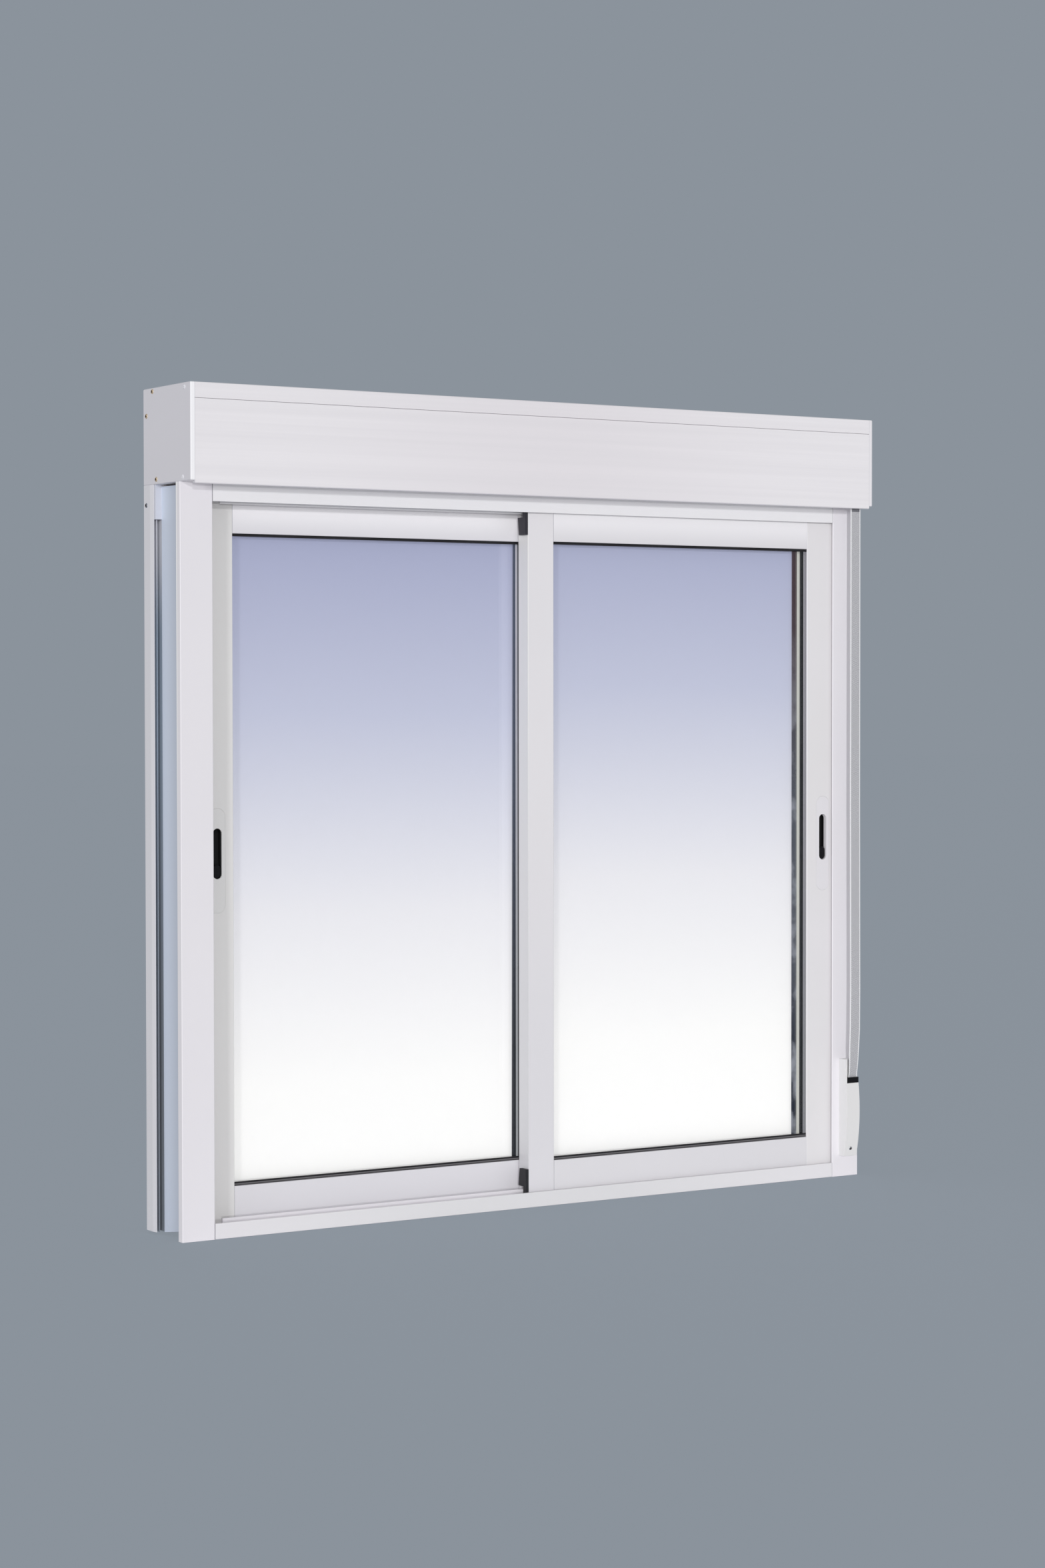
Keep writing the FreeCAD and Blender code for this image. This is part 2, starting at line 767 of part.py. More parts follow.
def make_winder():
    """Strap winder on the flange: a swelling case, a strap channel at its top and the black mouth there."""
    right_x = winder_left_x + winder_width
    shoulder_z = winder_foot + winder_shoulder
    front_y = face_y - winder_front_depth
    channel_y = face_y - winder_channel_depth

    def place(depth, rise):
        return FreeCAD.Vector(winder_left_x, face_y - depth, winder_foot + rise)

    foot_front = place(winder_foot_depth, 0)
    belly = place(winder_belly_depth, winder_belly_rise)
    shoulder = place(winder_front_depth, winder_shoulder)
    corners = [
        shoulder,
        place(winder_front_depth, winder_height),
        place(0, winder_height),
        place(0, 0),
        foot_front,
    ]
    edges = [Part.LineSegment(a, b).toShape() for a, b in zip(corners, corners[1:])]
    edges.append(Part.Arc(foot_front, belly, shoulder).toShape())
    case = Part.Face(Part.Wire(edges)).extrude(FreeCAD.Vector(winder_width, 0, 0))
    channel_low = (winder_left_x + winder_ear, front_y, shoulder_z)
    channel = block(channel_low, (right_x, channel_y, winder_foot + winder_height))

    foot = strap_point(shoulder_z)
    half_x = strap_width / 2 + strap_play
    half_y = strap_thickness / 2 + strap_play
    slot_low = (foot.x - half_x, foot.y - half_y, shoulder_z - winder_slot_depth)
    slot = block(slot_low, (foot.x + half_x, foot.y + half_y, shoulder_z + mouth_height))
    mouth_low = (winder_left_x + winder_ear + mouth_fit, front_y, shoulder_z)
    mouth = block(mouth_low, (right_x, channel_y - mouth_fit, shoulder_z + mouth_height))
    return case.cut(channel).cut(slot).Solids[0], mouth.cut(slot).Solids[0]


os.makedirs("parts", exist_ok=True)

for side_name, side in (("left", -1), ("right", 1)):
    save(f"{side_name}_jamb", make_jamb(side))
    save(f"{side_name}_guide", make_guide(side))
    save(f"{side_name}_guide_plug", make_guide_plug(side))
    save(f"{side_name}_box_end", make_box_end(side))
save("sill", make_sill())
save("head", make_head())

strap_bush, bush_neck = make_strap_bush()
box_top, box_lid, box_floor, box_rear = make_box_panels()
save("box_top", box_top)
save("box_lid", box_lid)
save("box_floor", box_floor.cut(bush_neck).Solids[0])
save("box_back", box_rear)
save("end_slat", make_end_slat())

save_sash("left_sash", -1, back_sash_y, left_pull_inset)
save_sash("right_sash", 1, front_sash_y, right_pull_inset)

winder_case, winder_mouth = make_winder()
save("strap", make_strap())
save("strap_bush", strap_bush)
save("winder_case", winder_case)
save("winder_mouth", winder_mouth)
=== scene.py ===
import math

import bpy
from mathutils import Matrix, Vector


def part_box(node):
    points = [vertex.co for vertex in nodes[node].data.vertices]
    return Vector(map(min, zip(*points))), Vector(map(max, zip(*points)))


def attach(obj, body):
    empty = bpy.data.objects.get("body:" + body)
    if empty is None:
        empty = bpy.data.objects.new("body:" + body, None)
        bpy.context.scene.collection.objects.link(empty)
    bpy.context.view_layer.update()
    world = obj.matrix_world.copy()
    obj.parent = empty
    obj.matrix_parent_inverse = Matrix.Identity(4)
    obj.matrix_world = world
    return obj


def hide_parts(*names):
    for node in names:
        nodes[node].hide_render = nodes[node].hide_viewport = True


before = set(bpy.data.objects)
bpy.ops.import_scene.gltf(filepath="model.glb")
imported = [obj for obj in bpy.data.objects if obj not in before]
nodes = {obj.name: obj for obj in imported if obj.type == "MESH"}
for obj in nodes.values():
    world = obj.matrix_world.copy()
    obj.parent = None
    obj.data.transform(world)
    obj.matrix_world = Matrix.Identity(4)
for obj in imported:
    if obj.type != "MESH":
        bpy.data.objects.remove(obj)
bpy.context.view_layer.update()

# Frame profiles: two jambs, a sill and a head, extruded in aluminium, screwed together at the
# corners and coated with white powder. The baked coat is satin, with a fine orange peel over
# the faint lines that the die leaves along each bar.


class Field:
    """A value that changes over a surface. Arithmetic on it adds Math nodes to its finish."""

    def __init__(self, finish, socket):
        self.finish = finish
        self.socket = socket

    def maths(self, operation, *values):
        return self.finish.node("Math", {"operation": operation}, dict(enumerate(values)))

    def __add__(self, other):
        return self.maths("ADD", self, other)

    def __radd__(self, other):
        return self.maths("ADD", other, self)

    def __sub__(self, other):
        return self.maths("SUBTRACT", self, other)

    def __rsub__(self, other):
        return self.maths("SUBTRACT", other, self)

    def __mul__(self, other):
        return self.maths("MULTIPLY", self, other)

    def __rmul__(self, other):
        return self.maths("MULTIPLY", other, self)

    def __mod__(self, other):
        return self.maths("FLOORED_MODULO", self, other)

    def __rmod__(self, other):
        return self.maths("FLOORED_MODULO", other, self)

    def __pow__(self, other):
        return self.maths("POWER", self, other)

    def __rpow__(self, other):
        return self.maths("POWER", other, self)

    def __lt__(self, other):
        return self.maths("LESS_THAN", self, other)

    def __gt__(self, other):
        return self.maths("GREATER_THAN", self, other)

    def __abs__(self):
        return self.maths("ABSOLUTE", self)


class Finish:
    """One material: the nodes of its pattern and the shader that they feed."""

    def __init__(self, name):
        self.material = bpy.data.materials.new(name)
        self.take_nodes(self.material, "Principled BSDF", "Material Output")
        self.place = self.node("TexCoord", {}, {}, "Object")
        axes = self.node("SeparateXYZ", {}, {0: self.place}).socket.node
        self.x, self.y, self.z = (Field(self, socket) for socket in axes.outputs)

    def take_nodes(self, owner, shader, output):
        """Work on the nodes of this owner, from its plain shader to its output."""
        owner.use_nodes = True
        self.tree = owner.node_tree
        self.shader = self.tree.nodes[shader]
        self.own = Field(self, self.shader.outputs[0])
        self.surface = self.tree.nodes[output].inputs["Surface"]

    def wire(self, target, sockets):
        """Give a node's sockets their values and links."""
        for name, value in sockets.items():
            if isinstance(value, Field):
                self.tree.links.new(value.socket, target.inputs[name])
            else:
                target.inputs[name].default_value = value

    def node(self, kind, settings, sockets, output=0):
        """Add a node: its settings first, then the value or link of each socket."""
        made = self.tree.nodes.new("ShaderNode" + kind)
        for name, value in settings.items():
            if name == "stops":
                ramp = made.color_ramp.elements
                ramp.remove(ramp[1])
                for place, colour in value[1:]:
                    ramp.new(place).color = colour
                ramp[0].position, ramp[0].color = value[0]
            else:
                setattr(made, name, value)
        self.wire(made, sockets)
        return Field(self, made.outputs[output])

    def noise(self, stretch, detail=2.0):
        """Noise from 0 to 1, with its grain count per metre along each axis."""
        grain = self.node("VectorMath", {"operation": "MULTIPLY"}, {0: self.place, 1: stretch})
        return self.node("TexNoise", {}, {"Vector": grain, "Scale": 1.0, "Detail": detail})

    def rise(self, value, start, end):
        """0 before start, 1 after end, and a smooth rise between them."""
        ends = {"Value": value, "From Min": start, "From Max": end}
        return self.node("MapRange", {"interpolation_type": "SMOOTHSTEP"}, ends)

    def blend(self, share, first, second):
        return self.node("Mix", {"data_type": "RGBA"}, {0: share, 6: first, 7: second}, 2)

    def feed(self, sockets):
        self.wire(self.shader, sockets)

    def bump(self, height, depth):
        self.feed({"Normal": self.node("Bump", {}, {"Height": height, "Distance": depth})})

    def show(self, share, first, second):
        """Put a mix of two shaders on the surface in place of the plain one."""
        mixed = self.node("MixShader", {}, {0: share, 1: first, 2: second})
        self.tree.links.new(mixed.socket, self.surface)

    def coat(self, *names):
        """Put the finish on CAD nodes."""
        for name in names:
            nodes[name].data.materials.clear()
            nodes[name].data.materials.append(self.material)


def shade(red, green, blue):
    """The linear colour of an sRGB shade from 0 to 255."""
    return [*(((part / 255 + 0.055) / 1.055) ** 2.4 for part in (red, green, blue)), 1.0]


def powder_coat(name, run, light, deep):
    """White powder on a bar drawn along the axis numbered run."""
    lines_across, lines_along = 650.0, 1.5
    peel_count, cloud_count = 480.0, 4.0
    coat = Finish(name)
    drawn = [lines_across] * 3
    drawn[run] = lines_along
    die_lines = coat.noise(drawn, 3.0)
    peel = coat.noise([peel_count] * 3)
    cloud = coat.noise([cloud_count] * 3, 3.0)
    coat.colour = coat.blend(cloud, light, deep)
    coat.feed({"Base Color": coat.colour, "Roughness": 0.3 + peel * 0.16})
    coat.bump(die_lines * 0.6 + peel * 0.4, 0.00005)
    return coat


level, upright = 0, 2
mid_height = 0.5
face_skin = 0.001
frame_white, frame_cloud = shade(240, 237, 241), shade(235, 232, 237)

jamb_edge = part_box("right_jamb")[1].x
web_inset, rim_width = 0.012, 0.0025
web_shaded, web_open = 0.010, 0.075
rim_dull, rim_bright = 0.3, 0.9
jamb = powder_coat("jamb_coat", upright, frame_white, frame_cloud)
# The web of each jamb gets a painted bluish shade, darker towards the flange.
web = (abs(abs(jamb.x) - (jamb_edge - web_inset)) < face_skin) * (jamb.y > face_skin)
web_depth = jamb.rise(jamb.y, web_shaded, web_open)
web_painted_shade = jamb.blend(web_depth, shade(190, 197, 211), shade(218, 227, 243))
jamb_with_web_shade = jamb.blend(web, jamb.colour, web_painted_shade)
# The rear rim of each flange return gets a painted highlight, brighter towards the top.
rim = (abs(jamb.x) > jamb_edge - rim_width) * (jamb.y > -rim_width)
rim_light = rim * jamb.rise(jamb.z, rim_dull, rim_bright)
jamb.feed({"Base Color": jamb.blend(rim_light, jamb_with_web_shade, shade(255, 255, 255))})
jamb.coat("left_jamb", "right_jamb")

sill_low, sill_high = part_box("sill")
joint_width = 0.0005
nose_middle, nose_end = 0.1, 0.55
crosswise = powder_coat("powder_coat_crosswise", level, frame_white, frame_cloud)
is_head = crosswise.z > mid_height
head_white = crosswise.blend(is_head, crosswise.colour, shade(242, 241, 243))
# The front of the sill's nose gets painted shade, darkest in the middle.
nose = (crosswise.y < sill_low.y + face_skin) * (crosswise.z < sill_high.z)
nose_run = crosswise.rise(abs(crosswise.x), nose_middle, nose_end)
nose_painted_shade = crosswise.blend(nose_run, shade(226, 225, 227), shade(233, 231, 234))
bar_white = crosswise.blend(nose, head_white, nose_painted_shade)
butt_joint = abs(crosswise.x) > sill_high.x - joint_width
crosswise.feed({"Base Color": crosswise.blend(butt_joint, bar_white, shade(150, 150, 156))})
crosswise.coat("sill", "head")

# Shutter guides: open aluminium channels clipped to the jambs, in the same white powder. The
# clip groove along the outer side of each is in shade, and less so towards its top.
groove_floor, groove_mouth = 0.5858, 0.5978
groove_front, groove_back = 0.0727, 0.0875
shade_foot, shade_top = 0.2, 0.8
light_foot, light_top = 0.84, 1.0
guide = powder_coat("guide_coat", upright, shade(228, 227, 232), shade(222, 221, 226))
inset = (abs(guide.x) > groove_floor) * (abs(guide.x) < groove_mouth)
groove = inset * (guide.y > groove_front) * (guide.y < groove_back)
climb = guide.rise(guide.z, shade_foot, shade_top)
deep = guide.blend(climb, shade(134, 140, 149), shade(152, 165, 180))
top_light = guide.rise(guide.z, light_foot, light_top)
dusk = guide.blend(top_light, deep, shade(206, 207, 214))
guide.feed({"Base Color": guide.blend(groove, guide.colour, dusk)})
guide.coat("left_guide", "right_guide")

# Guide plugs: white moulded stoppers pressed into the top of each guide's open chamber, close
# under the box. The mould leaves a fine grain on them.


def grained(name, stretch, detail, light, dark, smooth, rough, depth=0.0):
    """A finish whose grain mottles its colour, and its gloss from smooth to smooth + rough."""
    finish = Finish(name)
    finish.grain = finish.noise(stretch, detail)
    finish.colour = finish.blend(finish.grain, light, dark)
    finish.feed({"Base Color": finish.colour, "Roughness": smooth + finish.grain * rough})
    if depth:
        finish.bump(finish.grain, depth)
    return finish


mould_grain, mould_depth = [900.0] * 3, 0.00004
plug_white, plug_mottle = shade(214, 216, 226), shade(206, 208, 218)
plug = grained("moulded_plug", mould_grain, 2.0, plug_white, plug_mottle, 0.4, 0.2, mould_depth)
plug.coat("left_guide_plug", "right_guide_plug")

# End slat: the lowest bar of the rolled-up shutter, an extruded aluminium hollow in white
# lacquer that hangs between the guides just below the box.
lacquer = powder_coat("slat_lacquer", level, shade(236, 236, 239), shade(229, 229, 233))
lacquer.coat("end_slat")

# Shutter box: four rigid white plastic panels that snap into each other and run between two
# moulded ends. The panels keep faint streaks along their length from the extrusion.
panel_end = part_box("box_lid")[1].x
end_gap, bright_reach = 0.0006, 0.5
panel = Finish("panel_white")
streak = panel.noise((1.2, 160.0, 160.0), 4.0)
band = panel.noise((0.7, 45.0, 45.0), 2.0)
pores = panel.noise([700.0] * 3)
from_middle = panel.rise(abs(panel.x), 0.0, bright_reach)
bright = panel.blend(from_middle, shade(241, 236, 240), shade(252, 249, 252))
streaked = panel.blend(streak * 0.5 + band * 0.5, bright, shade(228, 225, 229))
end_joint = abs(panel.x) > panel_end - end_gap
panel.feed({"Base Color": panel.blend(end_joint, streaked, shade(214, 213, 218))})
panel.feed({"Roughness": 0.32 + streak * 0.12 + pores * 0.06})
panel.bump(streak * 0.8 + pores * 0.2, 0.00008)
panel.coat("box_top", "box_lid", "box_floor", "box_back")

# Box ends: white moulded plates that close the box on both sides and hold its four panels. Their
# front edges show beside the lid with a painted highlight, brighter on the left one.


def moulding(name, light, dark):
    """White moulded plastic: a fine grain, and clouds where the melt flowed."""
    plastic = Finish(name)
    grain = plastic.noise(mould_grain)
    flow = plastic.noise((9.0, 5.0, 7.0), 3.0)
    plastic.colour = plastic.blend(flow, light, dark)
    plastic.feed({"Base Color": plastic.colour, "Roughness": 0.38 + grain * 0.2})
    plastic.bump(grain, mould_depth)
    return plastic


front_edge = -0.0455
cap = moulding("moulded_box_end", shade(224, 222, 228), shade(219, 217, 223))
front_highlight = cap.blend(cap.x > 0.0, shade(253, 252, 255), shade(240, 237, 241))
cap.feed({"Base Color": cap.blend(cap.y < front_edge, cap.colour, front_highlight)})
cap.coat("left_box_end", "right_box_end")

# Box screws: raised countersunk heads with a cross recess through each end into the panels'
# screw ports. Three are yellow zinc, and the two at the front are sprayed white; a steel one
# below them holds the guide.


def placed(name, data):
    """A new object in the scene, made of a mesh, a lamp or a camera."""
    made = bpy.data.objects.new(name, data)
    bpy.context.scene.collection.objects.link(made)
    return made


def screw(name, centre, outward, radius, finish, inside):
    """A domed head with a cross recess, on the face that looks outward, in shares of its radius."""
    rings, spokes = 16, 56
    dome, recess_depth, recess_floor = 0.42, 0.34, 0.12
    arm_width, arm_length, arm_lip, arm_slope = 0.15, 0.62, 1.15, 0.3
    twist = 0.4
    centre = Vector(centre)
    side = Vector((0.0, 0.0, 1.0)).cross(outward).normalized()
    up = outward.cross(side)
    points, faces = [centre + outward * radius * recess_floor], []
    for ring in range(1, rings + 1):
        reach = ring / rings
        for spoke in range(spokes):
            turn = 2 * math.pi * spoke / spokes
            narrow, wide = sorted((abs(math.cos(turn + twist)), abs(math.sin(turn + twist))))
            arm = reach * max(narrow / arm_width, wide / arm_length)
            height = dome * (1 - reach ** 3)
            height -= recess_depth * min(max((arm_lip - arm) / arm_slope, 0.0), 1.0)
            spread = side * math.cos(turn) + up * math.sin(turn)
            points.append(centre + (spread * reach + outward * height) * radius)
    for spoke in range(spokes):
        after = (spoke + 1) % spokes
        faces.append((0, 1 + spoke, 1 + after))
        for ring in range(rings - 1):
            inner, outer = 1 + ring * spokes, 1 + (ring + 1) * spokes
            faces.append((inner + spoke, outer + spoke, outer + after, inner + after))
    mesh = bpy.data.meshes.new(name)
    mesh.from_pydata(points, [], faces)
    mesh.shade_smooth()
    mesh.materials.append(finish.material)
    mesh.materials.append(inside.material)
    for face in mesh.polygons:
        face.material_index = int((face.center - centre).length < arm_length * radius)
    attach(placed(name, mesh), "frame")


# The cross recesses of the unpainted screws are coloured dark brown to black.
recess_brown, recess_black = shade(66, 44, 30), shade(34, 26, 22)
recess = grained("dark_recess", [2500.0] * 3, 2.0, recess_brown, recess_black, 0.45, 0.3)
recess.feed({"Metallic": 0.4})
zinc_yellow, zinc_tarnish = shade(234, 214, 186), shade(200, 172, 134)
brass = grained("yellow_zinc", [900.0] * 3, 3.0, zinc_yellow, zinc_tarnish, 0.3, 0.25)
brass.feed({"Metallic": 0.5})
spray_white, spray_mist = shade(236, 236, 241), shade(214, 214, 220)
sprayed = grained("sprayed_screw", [1500.0] * 3, 3.0, spray_white, spray_mist, 0.35, 0.2, 0.00006)
steel_bright, steel_scuff = shade(188, 190, 194), shade(120, 122, 128)
steel = grained("bright_steel", [1200.0] * 3, 3.0, steel_bright, steel_scuff, 0.28, 0.25)
steel.feed({"Metallic": 0.9})

box_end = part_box("right_box_end")[1].x
zinc_radius, small_radius = 0.0036, 0.0034
box_screws = (
    ("top_back", 0.0730, 1.1950, zinc_radius, brass),
    ("mid_back", 0.0920, 1.1616, zinc_radius, brass),
    ("low_back", 0.0614, 1.0706, zinc_radius, brass),
    ("top_front", -0.0276, 1.1937, small_radius, sprayed),
    ("low_front", -0.0216, 1.0695, small_radius, sprayed),
    ("guide", 0.0934, 1.0355, small_radius, steel),
)
for side, sign in (("left", -1.0), ("right", 1.0)):
    outward = Vector((sign, 0.0, 0.0))
    for place, y, z, radius, finish in box_screws:
        core = sprayed if finish is sprayed else recess
        screw(f"{side}_screw_{place}", (sign * box_end, y, z), outward, radius, finish, core)

# Sash profiles: hollow aluminium stiles and rails, cut square and screwed at the corners, in the
# same powder as the frame. They stand back in it and are a shade greyer. Painted shade darkens the
# meeting stiles towards the foot, and painted light brightens the top of each top rail; a hairline
# shows at every joint.
hairline_width, end_skin = 0.0004, 0.0008
foot_shade_start, foot_shade_full = 0.65, 0.1
end_foot, end_top = 0.1, 1.0
under_top_rail, on_top_rail = 0.99, 1.03
sash_whites = (
    ("left", shade(238, 237, 235), shade(232, 230, 235), shade(252, 250, 253)),
    ("right", shade(238, 235, 239), shade(228, 226, 229), shade(246, 244, 247)),
)
for side, stile_white, bottom_white, top_painted_light in sash_whites:
    meeting_white, meeting_cloud = shade(238, 235, 238), shade(232, 230, 233)
    meeting = powder_coat(f"{side}_meeting_coat", upright, meeting_white, meeting_cloud)
    # Painted shade darkens each meeting stile towards its foot.
    foot = meeting.rise(meeting.z, foot_shade_start, foot_shade_full)
    tone = meeting.blend(foot, meeting.colour, shade(227, 225, 229))
    if side == "right":
        # The end face of the right meeting stile gets painted shade, darkest at the foot.
        end_face = meeting.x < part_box("right_sash_meeting_stile")[0].x + end_skin
        climb = meeting.rise(meeting.z, end_foot, end_top)
        end_face_shade = meeting.blend(climb, shade(207, 206, 209), shade(230, 228, 226))
        tone = meeting.blend(end_face, tone, end_face_shade)
    meeting.feed({"Base Color": tone})
    meeting.coat(f"{side}_sash_meeting_stile")

    stile = powder_coat(f"{side}_stile_coat", upright, stile_white, shade(231, 229, 229))
    stile.coat(f"{side}_sash_outer_stile")

    rail_low, rail_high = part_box(f"{side}_sash_top_rail")
    rail = powder_coat(f"{side}_rail_coat", level, bottom_white, shade(227, 225, 229))
    left_joint = rail.x < rail_low.x + hairline_width
    right_joint = rail.x > rail_high.x - hairline_width
    # Each top rail gets painted light along its top, under the head.
    is_top = rail.rise(rail.z, under_top_rail, on_top_rail)
    rail_lit_at_top = rail.blend(is_top, rail.colour, top_painted_light)
    hairline = shade(212, 212, 217)
    rail.feed({"Base Color": rail.blend(left_joint + right_joint, rail_lit_at_top, hairline)})
    rail.coat(f"{side}_sash_top_rail", f"{side}_sash_bottom_rail")

# Glass panes: each sealed unit has two sheets of float glass. The inner one is clear. The outer
# one carries a painted sky reflection that fades from periwinkle at the top to white and glows a
# little, and a painted reflection of the edge of the unit at its right side.
face_gloss, edge_gloss = 0.045, 0.9
no_tint = shade(255, 255, 255)
clear = Finish("clear_pane")
wipe = clear.noise((3.0, 3.0, 9.0), 3.0)
clear.feed({"Base Color": clear.blend(wipe, shade(238, 242, 250), shade(228, 234, 246))})
clear.feed({"Metallic": 1.0, "Roughness": 0.02 + wipe * 0.03})
slant = clear.node("LayerWeight", {}, {"Blend": 0.5}, "Facing")
through = clear.node("BsdfTransparent", {}, {"Color": no_tint})
clear.show(face_gloss + slant ** 5 * edge_gloss, through, clear.own)
clear.coat("left_sash_inner_pane", "right_sash_inner_pane")


def within(finish, distance, reach):
    """1 where the distance is less than reach, with a soft edge."""
    softness = 0.0003
    return finish.rise(distance, reach + softness, reach - softness)


sky_stops = [
    (0.00, shade(255, 254, 252)),
    (0.20, shade(252, 251, 249)),
    (0.45, shade(236, 235, 238)),
    (0.74, shade(198, 201, 219)),
    (1.00, shade(171, 175, 202)),
]
black_share, glass_share, sky_glow = 0.2, 0.85, 0.375
ripple_height = 0.012
unit_foot, unit_top = 0.1, 0.9
blot_start, blot_full = 0.42, 0.62
dark_foot, dark_top = 0.18, 0.35
brown_foot, brown_top = 0.55, 0.95
patch_reach, pale_reach, dim_reach = 0.0231, 0.0129, 0.0072
strip_reach, strip_lean = 0.0047, 0.0032
for side, covered, shift in (("left", 0.0045, 0.006), ("right", 0.00275, 0.046)):
    sky = Finish(f"{side}_sky_pane")
    ripple = sky.noise((2.0, 2.0, 5.0), 2.0)
    height = sky.z + ripple * ripple_height - shift
    sky_reflection = sky.node("ValToRGB", {"stops": sky_stops}, {0: height})
    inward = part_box(f"{side}_sash_outer_pane")[1].x - covered - sky.x
    if side == "right":
        reflection_mottle = sky.rise(sky.noise((30.0, 30.0, 22.0), 3.0), blot_start, blot_full)
        climb = sky.rise(sky.z, dark_foot, dark_top)
        dark = sky.blend(climb, shade(14, 18, 34), shade(76, 79, 87))
        mottled_reflection = sky.blend(reflection_mottle, dark, shade(140, 143, 151))
        edge_reflection = sky.blend(sky.rise(sky.z, brown_foot, brown_top), mottled_reflection, shade(62, 42, 44))
        dim_mottle = sky.noise((60.0, 60.0, 9.0), 4.0)
        dim_reflection = sky.blend(dim_mottle, shade(5, 4, 6), shade(48, 47, 45))
        sky_reflection = sky.blend(within(sky, inward, patch_reach), sky_reflection, edge_reflection)
        sky_reflection = sky.blend(within(sky, inward, pale_reach), sky_reflection, shade(212, 212, 204))
        sky_reflection = sky.blend(within(sky, inward, dim_reach), sky_reflection, dim_reflection)
    else:
        climb = sky.rise(sky.z, unit_foot, unit_top)
        strip_reflection = sky.blend(climb, shade(34, 36, 39), shade(80, 87, 103))
        lean = (1.0 - sky.z) * strip_lean
        sky_reflection = sky.blend(within(sky, inward - lean, strip_reach), sky_reflection, strip_reflection)
    sky.feed({"Base Color": sky.blend(black_share, sky_reflection, shade(0, 0, 0)), "Emission Color": sky_reflection})
    sky.feed({"Emission Strength": sky_glow, "Roughness": 0.06, "Specular IOR Level": 0.1})
    through = sky.node("BsdfTransparent", {}, {"Color": no_tint})
    sky.show(glass_share, through, sky.own)
    sky.coat(f"{side}_sash_outer_pane")

# Spacers: bent bars of thin mill aluminium between the panes, filled with drying beads that
# breathe through two staggered rows of small slots along the bar.
slot_pitch, slot_half = 0.002, 0.00055
row_offset, row_half = 0.0017, 0.0012
for side, foot_grey, top_grey in (
    ("left", shade(178, 181, 182), shade(224, 223, 228)),
    ("right", shade(158, 158, 163), shade(184, 182, 188)),
):
    spacer_low, spacer_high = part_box(f"{side}_sash_spacer")
    spacer = Finish(f"{side}_spacer")
    across = spacer.y - (spacer_low.y + spacer_high.y) / 2
    along = spacer.z + spacer.x + (across > 0.0) * (slot_pitch / 2)
    in_row = abs(abs(across) - row_offset) < row_half
    slot = (abs(along % slot_pitch - slot_pitch / 2) < slot_half) * in_row
    mill = spacer.noise([40.0] * 3, 3.0)
    climb = spacer.rise(spacer.z, unit_foot, unit_top)
    alloy = spacer.blend(climb, foot_grey, top_grey)
    milled = spacer.blend(mill * 0.2, alloy, shade(150, 150, 156))
    pierced = spacer.blend(climb, shade(112, 114, 118), shade(92, 88, 98))
    slotted = spacer.blend(slot, milled, pierced)
    # The spacers' colour also glows, painted light that lifts them out of the shade between the
    # panes.
    spacer.feed({"Base Color": slotted, "Emission Color": slotted, "Emission Strength": 0.45})
    spacer.feed({"Metallic": 0.1, "Roughness": 0.38 + mill * 0.15})
    spacer.bump(1.0 - slot, 0.0002)
    spacer.coat(f"{side}_sash_spacer")

# Gaskets: extruded black rubber, rolled in between the panes and the profiles on both sides. The
# lip along the foot of each unit looks up and carries a painted sheen, lighter along a ridge.
lip_top, lip_ridge, ridge_half = 0.0697, 0.0692, 0.0005
rubber_black, rubber_bloom = shade(12, 10, 14), shade(30, 27, 31)
rubber = grained("black_gasket", [250.0] * 3, 3.0, rubber_black, rubber_bloom, 0.6, 0.25, 0.00005)
ridge = abs(rubber.z - lip_ridge) < ridge_half
lip_sheen = rubber.blend(ridge, shade(74, 72, 74), shade(118, 116, 118))
lip = within(rubber, rubber.z, lip_top)
rubber.feed({"Base Color": rubber.blend(lip, rubber.colour, lip_sheen)})
rubber.coat("left_sash_gaskets", "right_sash_gaskets")

# Running gear: turned nylon rollers in black moulded carriages, which are pushed into the bottom
# rails and carry the sashes along the tracks of the sill.
nylon_white, nylon_worn = shade(196, 196, 192), shade(170, 170, 166)
turning = (2200.0, 300.0, 2200.0)
nylon = grained("turned_nylon", turning, 3.0, nylon_white, nylon_worn, 0.4, 0.2, 0.00004)
nylon.coat("left_sash_rollers", "right_sash_rollers")
deep_black, spark_black = shade(8, 7, 9), shade(24, 22, 26)
black = grained("moulded_black", [1400.0] * 3, 3.0, deep_black, spark_black, 0.34, 0.3, 0.00006)
black.feed({"Specular IOR Level": 0.25})
black.coat("left_sash_roller_carriages", "right_sash_roller_carriages")

# Wind stops: black moulded blocks, fixed to the edge of each meeting stile at its top and its
# foot, which close the gap between the sashes.
low_black, low_rub = shade(18, 18, 21), shade(42, 41, 44)
stop = grained("wind_stop_black", (300.0, 300.0, 60.0), 3.0, low_black, low_rub, 0.45, 0.3, 0.00008)
upper_black = stop.blend(stop.grain, shade(34, 32, 40), shade(54, 51, 58))
stop.feed({"Base Color": stop.blend(stop.z > mid_height, stop.colour, upper_black)})
stop.coat("left_sash_wind_stops", "right_sash_wind_stops")

# Flush pulls: white moulded plates pressed into the outer stiles, with a rounded finger slot
# that is black inside, and a black thumb latch that slides in its lower end.
wall_fade = 0.0015
